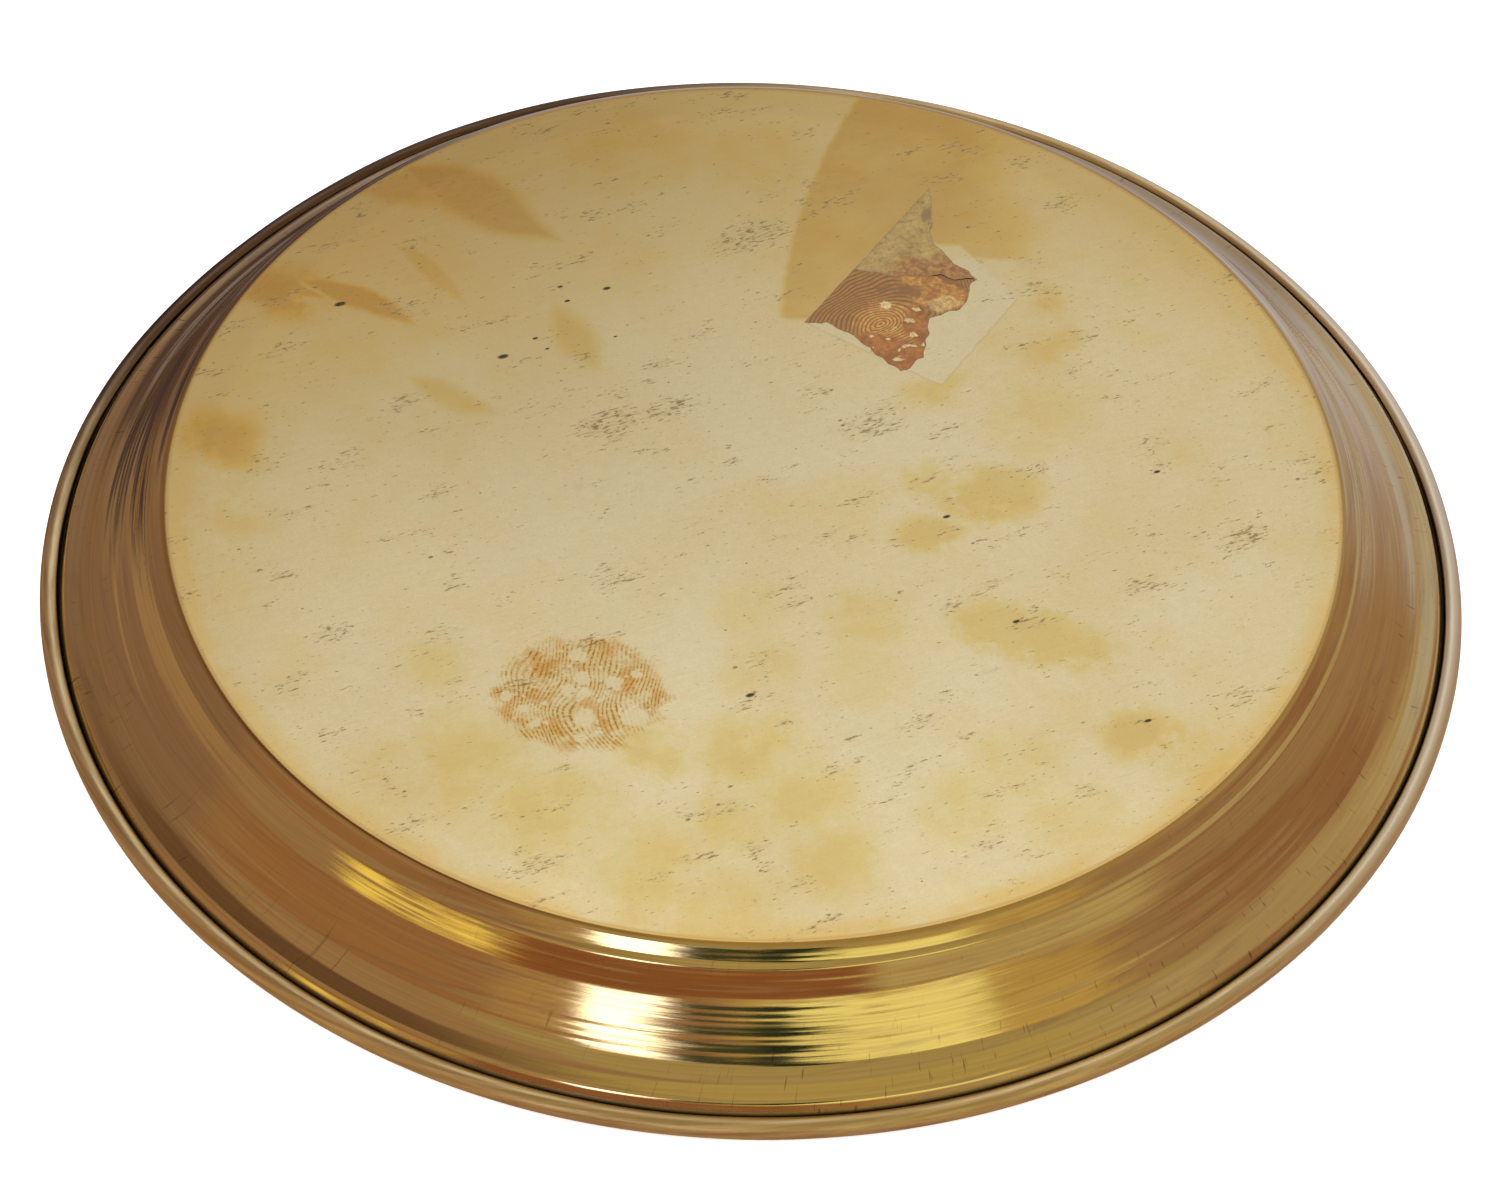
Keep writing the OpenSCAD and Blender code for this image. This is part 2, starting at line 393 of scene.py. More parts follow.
# -------- node helpers
class Nodes:
    """Short calls for building a node tree. Values may be numbers, tuples or sockets."""

    def __init__(self, tree):
        self.tree = tree
        tree.nodes.clear()

    def put(self, socket, value):
        if value is None:
            return
        if hasattr(value, "is_output"):
            self.tree.links.new(value, socket)
        else:
            socket.default_value = value

    def add(self, kind, settings=(), **inputs):
        node = self.tree.nodes.new(kind)
        for key, value in dict(settings).items():
            setattr(node, key, value)
        for key, value in inputs.items():
            self.put(node.inputs[key.replace("_", " ")], value)
        return node

    def math(self, op, a, b=None, c=None, clamp=False):
        node = self.add("ShaderNodeMath", {"operation": op, "use_clamp": clamp})
        for i, v in enumerate((a, b, c)):
            self.put(node.inputs[i], v)
        return node.outputs[0]

    def times(self, a, b):
        return self.math("MULTIPLY", a, b)

    def plus(self, a, b, clamp=False):
        return self.math("ADD", a, b, clamp=clamp)

    def minus(self, a, b):
        return self.math("SUBTRACT", a, b)

    def both(self, *factors):
        """Product of several masks."""
        total = factors[0]
        for f in factors[1:]:
            total = self.times(total, f)
        return total

    def vmath(self, op, a, b=None, scale=None):
        node = self.add("ShaderNodeVectorMath", {"operation": op})
        self.put(node.inputs[0], a)
        if b is not None:
            self.put(node.inputs[1], b)
        if scale is not None:
            self.put(node.inputs["Scale"], scale)
        return node.outputs["Value" if op in ("LENGTH", "DOT_PRODUCT", "DISTANCE") else "Vector"]

    def ramp(self, x, lo, hi, a=0.0, b=1.0, kind="SMOOTHSTEP"):
        node = self.add("ShaderNodeMapRange", {"interpolation_type": kind})
        for i, v in enumerate((x, lo, hi, a, b)):
            self.put(node.inputs[i], v)
        return node.outputs[0]

    def mix(self, f, a, b, blend="MIX"):
        node = self.add("ShaderNodeMix", {"data_type": "RGBA", "blend_type": blend})
        self.put(node.inputs[0], f)
        for i, v in ((6, a), (7, b)):
            self.put(node.inputs[i], (*v, 1.0) if isinstance(v, tuple) and len(v) == 3 else v)
        return node.outputs[2]

    def tint(self, f, colour, by):
        """Colour multiplied by another, as far as f says."""
        return self.mix(f, colour, self.mix(1.0, colour, by, "MULTIPLY"))

    def noise(self, vec, scale, detail=2.0, rough=0.5, distort=0.0, out=0):
        node = self.add("ShaderNodeTexNoise")
        for key, v in (("Vector", vec), ("Scale", scale), ("Detail", detail), ("Roughness", rough),
                       ("Distortion", distort)):
            self.put(node.inputs[key], v)
        return node.outputs[out]

    def place(self, vec, at=(0, 0), size=(1, 1), turn=0.0):
        """Coordinates of vec seen from an ellipse at `at`, in units of its half sizes."""
        node = self.add("ShaderNodeMapping", {"vector_type": "TEXTURE"})
        self.put(node.inputs["Vector"], vec)
        node.inputs["Location"].default_value = (at[0], at[1], 0)
        node.inputs["Rotation"].default_value = (0, 0, math.radians(turn))
        node.inputs["Scale"].default_value = (size[0], size[1], 1)
        return node.outputs[0]

    def blot(self, vec, at, size, turn=0.0, soft=0.4):
        """1 inside an ellipse, fading to 0 at its edge."""
        return self.ramp(self.vmath("LENGTH", self.place(vec, at, size, turn)), 1.0, 1.0 - soft)

    def spot(self, vec, at, radius, soft=0.4):
        """1 inside a circle, fading to 0 at its edge."""
        return self.ramp(self.vmath("DISTANCE", vec, (at[0], at[1], 0)), radius, radius * (1 - soft))

    def leaf(self, vec, at, size, turn=0.0, soft=0.3):
        """Like blot, with pointed ends."""
        local = self.add("ShaderNodeSeparateXYZ", Vector=self.place(vec, at, size, turn))
        x, y = local.outputs[0], local.outputs[1]
        return self.ramp(self.plus(self.times(x, x), self.math("ABSOLUTE", y)), 1.0, 1.0 - soft)

    def most(self, values):
        """Greatest of several values."""
        total = None
        for v in values:
            total = v if total is None else self.math("MAXIMUM", total, v)
        return total

    def drift(self, vec, by, amount):
        """Coordinates moved by `amount` times a vector."""
        return self.vmath("ADD", vec, self.vmath("SCALE", by, scale=amount))

    def stretched(self, vec, x, y):
        return self.vmath("MULTIPLY", vec, (x, y, 0))

    def wobble(self, vec, scale, detail, rough=0.5):
        """Vector noise about zero."""
        return self.vmath("SUBTRACT", self.noise(vec, scale, detail, rough, 0, 1), (0.5, 0.5, 0.5))

    def surface(self, shader):
        self.tree.links.new(shader, self.add("ShaderNodeOutputMaterial").inputs[0])


def material(name):
    mat = bpy.data.materials.new(name)
    mat.use_nodes = True
    return mat, Nodes(mat.node_tree)


def coordinates(n):
    """Sockets with the place in mm: whole vector, flat vector (z = 0), distance from the axis, x, y, z."""
    full = n.vmath("SCALE", n.add("ShaderNodeTexCoord").outputs["Object"], scale=1 / MM)
    split = n.add("ShaderNodeSeparateXYZ", Vector=full)
    x, y, z = split.outputs[0], split.outputs[1], split.outputs[2]
    flat = n.add("ShaderNodeCombineXYZ", X=x, Y=y).outputs[0]
    return SimpleNamespace(full=full, flat=flat, r=n.vmath("LENGTH", flat), x=x, y=y, z=z)


def label_frame(n, flat):
    """Coordinates on the sticker: along its long edge, and across to the right."""
    return n.place(flat, LABEL_AT, (1, -1), LABEL_TURN)


def whorl(n, flat, at, half, pitch, turn, seed, core=(0, 0)):
    """Ridges of a generic fingerprint, curving round its core: 1 on a ridge. Returns (ridges, mask)."""
    local = n.place(flat, at, (1, 1), turn)
    bend = n.wobble(n.vmath("ADD", local, (seed, 0, 0)), 0.11, 1)
    from_core = n.vmath("SUBTRACT", n.drift(local, bend, 6.0), (*core, 0))
    d = n.vmath("LENGTH", n.vmath("MULTIPLY", from_core, (1.0, 0.8, 0)))
    ridges = n.ramp(n.math("SINE", n.times(d, 2 * math.pi / pitch)), -0.2, 0.8)
    edge_noise = n.noise(flat, 0.35, 3, 0.6)
    rim = n.vmath("LENGTH", n.place(flat, at, half, turn))
    mask = n.ramp(n.plus(rim, n.times(n.minus(edge_noise, 0.5), 0.5)), 1.0, 0.8)
    return ridges, mask


def metal(n, colour, rough, normal):
    bsdf = n.add("ShaderNodeBsdfPrincipled", Metallic=1.0)
    for key, value in (("Base Color", colour), ("Roughness", rough), ("Normal", normal)):
        n.put(bsdf.inputs[key], value)
    n.surface(bsdf.outputs[0])


# -------- brass of the base
# Places are (x, y) on the base in mm, directions are degrees.
ROLL_TURN = 24.5  # direction of the rolling marks in the sheet
DRAWN = 2.0  # pits are about this much longer along the marks than across
EDGE_LINE = 65.2  # where the colours of the base end and those of the wall begin
BASE_FLOOR = 12.9  # the base's faces all lie above this height

ROUND_STAINS = [  # centre, half sizes, direction, softness, strength
    ((-60, 2), (9.0, 8.0), 0, 0.8, 0.90),
    ((-57, -8), (6, 8), 10, 0.9, 0.55),
    ((-55, 25), (12, 7), -13, 0.8, 0.92),
    ((36, 21.5), (9.5, 6.5), 30, 0.7, 0.60),
    ((30.5, 29.5), (5.5, 6.5), -20, 0.6, 0.76),
    ((22, 14.5), (8.5, 4.2), 15, 0.7, 0.50),
    ((26.5, -2.2), (8.8, 6.8), 5, 0.5, 0.66),
    ((21.2, -8.6), (7.4, 4.6), -8, 0.5, 0.66),
    ((28.5, -21.8), (10.4, 6.8), -5, 0.5, 0.64),
    ((34.5, -24.5), (8.0, 5.0), -12, 0.5, 0.64),
    ((42.5, -35.3), (7.6, 5.2), -10, 0.6, 0.74),
]
POINTED_STAINS = [
    ((-34.5, 42.5), (13.4, 5.4), -32, 0.55, 0.90),
    ((-41, 44.5), (12, 4.5), -8, 0.6, 0.66),
    ((-47, 24.2), (9, 2.6), -25, 0.6, 0.95),
    ((-57, 27), (8, 1.8), -25, 0.6, 0.80),
    ((-21.5, 19.8), (7.4, 3.1), -52, 0.75, 0.66),
    ((-34.5, 9.9), (6.8, 2.8), -24, 0.75, 0.56),
    ((-38.3, 29.3), (7, 1.7), -49, 0.6, 0.45),
]
WASHES = [  # faint stains: centre, radius, strength
    ((-28, -44), 10, 0.66), ((-19, -50), 10, 0.68), ((-9, -56), 9, 0.62), ((-36, -47), 8, 0.40),
    ((1, -40), 9, 0.76), ((7, -46), 8.5, 0.72), ((10, -54), 8, 0.64), ((0, -60), 9, 0.50),
    ((24, -46), 7.5, 0.52), ((29, -40), 7, 0.58), ((35, -47), 7.5, 0.45), ((48, -38), 6, 0.55),
    ((-33, -31), 6.5, 0.50), ((-30, -38), 5.5, 0.44), ((13, -21), 6.5, 0.52), ((12, -29), 7, 0.42),
    ((-10, -40.5), 6, 0.74), ((-1, -49), 7, 0.62), ((1, -28), 7, 0.40), ((-1, -20), 7, 0.34),
    ((19, 0), 4.5, 0.60), ((-16, 54), 12, 0.60), ((-3, 52), 10, 0.55), ((31, 10), 9, 0.42),
    ((10, -4), 8, 0.20),
]
PIT_PATCHES = [  # centre, half width, how dense
    ((-16.5, 7.0), 4.4, 1.0), ((-9.5, 9.6), 3.6, 0.9), ((-16, 11.4), 2.4, 0.8), ((-23.5, 5.4), 1.6, 0.85),
    ((-25.5, -2.9), 1.6, 0.95), ((-21.8, -2.5), 1.4, 0.9), ((-24, 0.3), 2.0, 0.8), ((-20.4, 0.5), 1.2, 0.85),
    ((-12.5, 13), 0.8, 0.9), ((-25, 9.6), 0.8, 0.9), ((-31.8, 5), 1.0, 0.8), ((-3, 2.5), 1.1, 0.95),
    ((-2, 38.5), 4.9, 0.9), ((3.4, 44.8), 1.9, 0.8), ((4.5, 48.1), 1.4, 1.0), ((35.5, 48), 3.5, 0.95),
    ((54, -6.5), 3.9, 0.95), ((56.2, -2.9), 1.0, 1.0), ((52, -13.6), 1.1, 1.0), ((12, 9), 4.2, 0.85),
    ((-44, -26.6), 3.0, 0.9), ((3.5, 1.6), 1.0, 0.95), ((8.3, -2.8), 0.95, 0.8), ((-3.9, 4.7), 1.1, 0.9),
    ((36, 25.5), 1.0, 0.9), ((-55.5, -5.2), 1.0, 0.85), ((-47, -4), 1.3, 0.85), ((-14.4, -16.2), 3.0, 0.8),
    ((6.5, -17.8), 0.9, 0.8), ((29.6, -9.5), 1.0, 0.8), ((-39.5, -38), 1.1, 0.8), ((3.2, 16.9), 1.3, 0.85),
    ((-31, -33), 1.3, 0.75),
]
SINGLE_PITS = [  # centre, half width
    ((-29.5, 16.7), 0.42), ((-22.9, 26.3), 0.23), ((-18.5, 28.7), 0.32), ((42.6, -33.6), 0.27),
    ((-23.9, 28.6), 0.22), ((-26.1, 19.9), 0.22), ((-24.6, 18.3), 0.18), ((-17.0, 20.8), 0.15),
    ((-48.9, 23.9), 0.44), ((21.2, -5.2), 0.29), ((0.7, -32.4), 0.34), ((28.8, -20.3), 0.28),
    ((44.6, 3.0), 0.26),
]
PRINT_GAPS = [  # bare places in the fingerprint: centre, radius
    ((-17.0, -31.2), 1.1), ((-16.9, -33.0), 0.9), ((-16.4, -36.6), 1.5), ((-11.2, -36.2), 1.8),
    ((-13.8, -31.8), 1.2), ((-24.8, -34.2), 1.0), ((-21.6, -37.7), 0.75), ((-22.8, -35.8), 0.8),
    ((-18.4, -32.8), 0.95), ((-21.0, -34.8), 0.55), ((-16.6, -39.2), 0.9), ((-17.7, -28.2), 1.2),
    ((-11.4, -30.2), 0.9),
]


def drawn(at):
    """A place on the base in coordinates turned to the rolling marks and shrunk along them."""
    t = math.radians(ROLL_TURN)
    return (at[0] * math.cos(t) + at[1] * math.sin(t)) / DRAWN, at[1] * math.cos(t) - at[0] * math.sin(t)


def base_fields(n):
    """Coordinates and noises that the marks of the base share."""
    c = coordinates(n)
    c.crinkle = n.wobble(c.flat, 0.5, 3, 0.6)
    wandering = n.drift(c.flat, n.wobble(c.flat, 0.05, 1), 6.0)
    c.breezy = n.drift(wandering, c.crinkle, 5.0)
    c.uneven = n.drift(wandering, c.crinkle, 1.1)
    c.rolled = n.place(c.flat, (0, 0), (1, 1), ROLL_TURN)
    c.streak = n.noise(n.stretched(c.rolled, 0.10, 1.3), 1.0, 4, 0.6)
    c.fine = n.noise(n.stretched(c.rolled, 0.5, 5.0), 1.0, 2, 0.5)
    c.cloud = n.noise(c.flat, 0.035, 4, 0.55)
    return c


def wide_stain(n, c):
    """The widest stain: a clean left border that bends away towards the rim, and a straight lower one."""
    crisp = n.add("ShaderNodeSeparateXYZ", Vector=n.drift(c.flat, c.crinkle, 0.9))
    x, y = crisp.outputs[0], crisp.outputs[1]
    rise = n.minus(y, 26.0)
    border = n.plus(n.times(n.times(rise, rise), 0.0055), 1.8)
    beside = n.ramp(n.minus(x, border), -0.5, 0.6)
    lowest = n.ramp(x, 12.0, 22.0, 25.1, 36.5, "LINEAR")
    above = n.ramp(n.minus(y, lowest), -0.5, 0.5)
    clouds = n.noise(c.flat, 0.09, 3, 0.6)
    fading = n.ramp(n.plus(x, n.times(clouds, 18.0)), 43.0, 31.0)
    return n.both(beside, above, fading, n.ramp(clouds, 0.3, 0.6, 0.72, 0.94))


def stains(n, c):
    """How stained the base is, 0 to 1."""
    stain = n.most(n.times(n.blot(c.uneven, at, size, turn, soft), amount)
                   for at, size, turn, soft, amount in ROUND_STAINS)
    pointed = n.most(n.times(n.leaf(c.uneven, at, size, turn, soft), amount)
                     for at, size, turn, soft, amount in POINTED_STAINS)
    airy = n.most(n.times(n.spot(c.breezy, at, radius, 0.75), amount) for at, radius, amount in WASHES)
    airy = n.times(airy, n.ramp(n.noise(c.flat, 0.16, 4, 0.6), 0.32, 0.6, 0.50, 0.92))
    stain = n.most((stain, pointed, airy, wide_stain(n, c)))
    return n.times(stain, n.ramp(c.streak, 0.25, 0.75, 0.84, 1.06, "LINEAR"))


def golden_tone(n, c):
    """How far the whole base has yellowed: most beyond the middle, at the left and along its edge."""
    beyond = n.times(n.ramp(c.y, -5.0, 58.0), 0.62)
    at_left = n.times(n.ramp(c.x, 0.0, -62.0), n.ramp(c.y, -45.0, 15.0, 0.10, 0.44))
    near_rim = n.times(n.ramp(c.r, 50.0, 65.0), n.ramp(c.y, -40.0, 10.0, 0.16, 0.30))
    mottle = n.times(n.ramp(c.cloud, 0.42, 0.68), n.ramp(c.y, -40.0, 10.0, 0.20, 0.32))
    small_cloud = n.times(n.ramp(n.noise(c.flat, 0.11, 4, 0.6), 0.45, 0.72), 0.30)
    broken = n.ramp(n.noise(c.flat, 0.12, 3, 0.6), 0.3, 0.6, 0.3, 0.9)
    fringe = n.times(n.ramp(c.r, 61.5, 64.9), broken)
    tone = n.plus(n.plus(n.plus(beyond, at_left), near_rim), mottle)
    tone = n.plus(n.plus(tone, small_cloud), n.times(fringe, 0.95), clamp=True)
    paler = n.blot(c.flat, (-16, 14), (36, 24), 20, 1.0)
    return n.times(tone, n.minus(1.0, n.times(paler, 0.42)))


def sticker_patch(n, c):
    """The patch that the sticker kept clean: (how clean, line of dirt along its outline)."""
    label = label_frame(n, c.flat)
    half_u, half_v = LABEL_SIZE[0] / 2, LABEL_SIZE[1] / 2
    from_centre = n.vmath("ABSOLUTE", n.vmath("SUBTRACT", label, (half_u, half_v, 0)))
    box = n.add("ShaderNodeSeparateXYZ", Vector=from_centre)
    wavy = n.times(n.minus(n.noise(c.flat, 0.7, 2), 0.5), 0.6)
    outside = n.math("MAXIMUM", n.minus(n.plus(box.outputs[0], wavy), half_u),
                     n.minus(n.plus(box.outputs[1], wavy), half_v))
    uv = n.add("ShaderNodeSeparateXYZ", Vector=label)
    slant = n.plus(uv.outputs[0], n.times(uv.outputs[1], 0.39))
    peeled = n.math("MAXIMUM", n.ramp(n.minus(slant, 24.3), -0.4, 0.4), n.ramp(c.y, 38.0, 39.2))
    unpeeled = n.minus(1.0, peeled)
    kept = n.both(n.ramp(outside, 0.15, -0.15), unpeeled, 0.75)
    outline = n.both(n.ramp(n.math("ABSOLUTE", outside), 0.20, 0.05), 0.24, unpeeled)
    return kept, outline


def stained_colour(n, c):
    """Colour of the base with its tarnish, stains and the sticker's patch, painted shade at the far left and
    along its bent edge, and darker towards the far side.
    """
    kept, outline = sticker_patch(n, c)
    clean = n.minus(1.0, kept)
    stain = n.times(stains(n, c), clean)
    colour = n.mix(n.times(golden_tone(n, c), clean), (0.825, 0.715, 0.445), (0.81, 0.57, 0.20))
    # painted shade: the base darker towards the far left
    painted_shade_far_left = n.times(n.ramp(c.y, -25.0, 15.0), n.ramp(c.x, 22.0, -30.0))
    colour = n.tint(painted_shade_far_left, colour, (0.89, 0.88, 0.85))
    # darker towards the far side
    colour = n.tint(n.ramp(c.y, 24.0, 50.0), colour, (0.90, 0.90, 0.90))
    aged = n.times(n.ramp(c.y, 12.0, 36.0), n.ramp(c.x, -2.0, -42.0))
    colour = n.tint(aged, colour, (0.94, 0.87, 0.76))
    colour = n.tint(n.ramp(stain, 0.0, 0.5, kind="LINEAR"), colour, (0.955, 0.86, 0.545))
    colour = n.tint(n.ramp(stain, 0.5, 1.0, kind="LINEAR"), colour, (0.845, 0.72, 0.56))
    ripe = n.times(n.ramp(c.x, -28.0, -50.0), n.ramp(stain, 0.2, 0.7))
    colour = n.tint(ripe, colour, (1.0, 0.93, 0.70))
    colour = n.mix(n.ramp(c.fine, 0.3, 0.75, 0.0, 0.16, "LINEAR"), colour, (0.58, 0.47, 0.24))
    blotchy = n.noise(c.flat, 0.9, 3, 0.65)
    colour = n.mix(n.ramp(blotchy, 0.35, 0.65, 0.0, 0.13, "LINEAR"), colour, (0.60, 0.46, 0.20))
    colour = n.mix(n.ramp(c.streak, 0.5, 0.9, 0.0, 0.10, "LINEAR"), colour, (0.88, 0.80, 0.56))
    colour = n.mix(outline, colour, (0.50, 0.33, 0.13))
    # painted shade: a dark amber line along the bend at the base's edge
    painted_edge_shade = n.ramp(n.math("ABSOLUTE", n.minus(c.r, 65.0)), 0.55, 0.15)
    return n.mix(n.times(painted_edge_shade, 0.75), colour, (0.62, 0.38, 0.11))


def round_dots(n, rolled):
    """Scattered single pits of two sizes, in a few of the cells of a grid of random cells."""
    dots = 0.0
    for scale, share, size in ((0.16, 0.55, 0.062), (0.34, 0.62, 0.072)):
        cells = n.add("ShaderNodeTexVoronoi", {"feature": "F1"})
        n.put(cells.inputs["Vector"], n.stretched(rolled, scale, scale * 1.6))
        cells.inputs["Scale"].default_value = 1.0
        random = n.add("ShaderNodeSeparateColor", Color=cells.outputs["Color"]).outputs[0]
        dot_r = n.ramp(random, share, 1.0, 0.02, size, "LINEAR")
        dot = n.ramp(cells.outputs["Distance"], dot_r, n.times(dot_r, 0.5))
        dots = n.math("MAXIMUM", dots, n.times(dot, n.ramp(random, share, share + 0.05)))
    return dots


def pitted(n, c, colour):
    """Rolled-in pits and scratches, in patches and drawn out along the rolling marks."""
    pit_frame = n.place(c.uneven, (0, 0), (DRAWN, 1), ROLL_TURN)
    speck_frame = n.stretched(c.rolled, 1 / DRAWN, 1)
    where = n.most(n.times(n.spot(pit_frame, drawn(at), half, 0.8), dense) for at, half, dense in PIT_PATCHES)
    sown = n.ramp(n.noise(n.stretched(c.rolled, 0.13, 0.34), 1.0, 2, 0.6), 0.52, 0.68, 0.34, 0.86)
    sown = n.times(sown, n.ramp(n.noise(c.flat, 0.06, 2), 0.34, 0.56, 0.5, 1.0))
    where = n.math("MAXIMUM", where, sown)
    coarse = n.noise(n.stretched(c.rolled, 0.6, 1.8), 1.0, 2, 0.6)
    pits = n.ramp(n.minus(coarse, n.ramp(where, 0.1, 0.9, 0.76, 0.60, "LINEAR")), 0.0, 0.04)
    small = n.noise(n.stretched(c.rolled, 0.95, 3.8), 1.0, 3, 0.65)
    specks = n.ramp(n.minus(small, n.ramp(where, 0.0, 0.9, 0.715, 0.545, "LINEAR")), 0.0, 0.05)
    long_noise = n.noise(n.stretched(c.rolled, 0.14, 6.0), 1.0, 2, 0.5)
    scratches = n.times(n.ramp(long_noise, 0.66, 0.74), n.ramp(where, 0.0, 0.6, 0.15, 0.7))
    dark = n.math("MAXIMUM", n.times(pits, 0.8), round_dots(n, c.rolled))
    singles = n.most(n.spot(speck_frame, drawn(at), half, 0.5) for at, half in SINGLE_PITS)
    haze = n.times(n.ramp(where, 0.5, 0.95, 0.0, 0.4), n.ramp(coarse, 0.40, 0.62))
    colour = n.mix(n.times(scratches, 0.6), colour, (0.42, 0.34, 0.20))
    colour = n.mix(haze, colour, (0.56, 0.42, 0.19))
    colour = n.mix(n.times(specks, 0.9), colour, (0.27, 0.175, 0.06))
    colour = n.mix(n.times(dark, 0.85), colour, (0.24, 0.155, 0.055))
    colour = n.mix(singles, colour, (0.035, 0.02, 0.01))
    grain = n.noise(c.flat, 3.0, 3, 0.75)
    return n.mix(n.ramp(grain, 0.3, 0.7, 0.0, 0.24, "LINEAR"), colour, (0.50, 0.42, 0.24))


def fingermarked(n, c, colour):
    """A generic fingerprint, dried brown on the brass."""
    ridges, in_print = whorl(n, c.flat, (-17.2, -33.2), (9.6, 8.7), 0.47, 0, 3.0, (12, 1))
    warped = n.drift(c.flat, c.crinkle, 1.8)
    voids = n.most(n.spot(warped, at, radius, 0.35) for at, radius in PRINT_GAPS)
    voids = n.math("MAXIMUM", voids, n.ramp(n.noise(c.flat, 0.9, 2, 0.5), 0.62, 0.68))
    mask = n.times(in_print, n.minus(1.0, n.times(voids, 0.9)))
    patchy = n.ramp(n.noise(c.flat, 0.4, 3), 0.38, 0.58, 0.40, 1.0)
    rust_noise = n.noise(n.vmath("ADD", c.flat, (40, 0, 0)), 0.3, 3, 0.6)
    rusty = n.times(mask, n.ramp(rust_noise, 0.46, 0.60))
    beads = n.ramp(n.noise(c.flat, 3.0, 2, 0.5), 0.38, 0.58, 0.15, 1.0)
    colour = n.tint(n.times(mask, n.times(patchy, 0.9)), colour, (0.94, 0.82, 0.56))
    colour = n.tint(n.times(rusty, 0.8), colour, (0.90, 0.66, 0.42))
    ridge_mask = n.times(n.times(mask, ridges), n.times(patchy, beads))
    return n.mix(n.times(ridge_mask, 0.95), colour, (0.38, 0.175, 0.035))


def base_material():
    mat, n = material("aged_brass_base")
    c = base_fields(n)
    colour = fingermarked(n, c, pitted(n, c, stained_colour(n, c)))
    # painted shade along the base's bent edge, where its reflections also turn sharper
    painted_shade_edge_band = n.ramp(c.r, EDGE_LINE - 0.4, EDGE_LINE)
    colour = n.mix(painted_shade_edge_band, colour, (0.60, 0.40, 0.14))
    rough = n.ramp(c.cloud, 0.3, 0.7, 0.27, 0.31, "LINEAR")
    rough = n.times(rough, n.minus(1.0, n.times(painted_shade_edge_band, 0.6)))
    bump = n.add("ShaderNodeBump", Strength=0.35, Distance=0.000004)
    n.put(bump.inputs["Height"], n.times(c.fine, 0.1))
    metal(n, colour, rough, bump.outputs[0])
    return mat


# -------- brass of the wall and rim
def ring_noise(n, c, along, around, detail, rough=0.5):
    """Noise in marks that run round the dish; its scales are `along` the profile and `around` the ring."""
    place = n.drift(n.vmath("SCALE", c.profile, scale=along), c.heading, around)
    return n.noise(place, 1.0, detail, rough)


def wall_colour(n, c, lines):
    """Colour of the wall and flange: spinning lines, smoky tarnish, short nicks, a duller far side."""
    broad = ring_noise(n, c, 0.25, 2.0, 3)
    colour = n.mix(n.ramp(lines, 0.35, 0.7, 0.0, 0.6, "LINEAR"), (0.84, 0.67, 0.32), (0.62, 0.45, 0.22))
    colour = n.mix(n.ramp(broad, 0.45, 0.75, 0.0, 0.4), colour, (0.62, 0.43, 0.20))
    smoky = ring_noise(n, c, 0.9, 7.0, 5, 0.65)
    colour = n.mix(n.ramp(smoky, 0.50, 0.75, 0.0, 0.6), colour, (0.50, 0.36, 0.24))
    nick = n.ramp(ring_noise(n, c, 0.45, 190.0, 2), 0.64, 0.74)
    nick = n.times(nick, n.ramp(c.r, 70.0, 75.0, 0.25, 1.0))
    colour = n.mix(n.times(nick, 0.6), colour, (0.16, 0.11, 0.06))
    away = n.times(n.ramp(c.y, 28.0, 50.0), n.ramp(n.math("ABSOLUTE", c.x), 4.0, 25.0))
    return n.tint(away, colour, (0.68, 0.63, 0.62))


def true_radius(n, c):
    """Distance from the axis as it was before the rim was knocked in at its worst place."""
    at, half, push = KNOCKED_IN
    toward = (math.cos(math.radians(at)), math.sin(math.radians(at)), 0)
    away = n.vmath("DISTANCE", c.heading, toward)
    bell = n.math("EXPONENT", n.times(n.times(away, away), -0.5 / math.radians(half) ** 2))
    return n.plus(c.r, n.times(n.times(bell, -push), n.ramp(c.r, ROUND_TO, RIM_R)))


def bead_colour(n, c):
    """Colour of the roll: worn, with painted light that makes it paler at the right and painted shade at the
    far left.
    """
    worn = ring_noise(n, c, 1.6, 9.0, 4, 0.6)
    colour = n.mix(n.ramp(worn, 0.35, 0.65), (0.90, 0.73, 0.42), (0.64, 0.48, 0.24))
    # painted light: the roll paler towards the right
    colour = n.mix(n.ramp(c.x, 40.0, 76.0, 0.0, 0.8), colour, (0.95, 0.86, 0.68))
    # painted shade over the roll at the far left, dimming its highlight
    shady = n.times(n.ramp(c.y, -5.0, 30.0), n.ramp(c.x, 20.0, -25.0))
    return n.tint(shady, colour, (0.20, 0.155, 0.17))


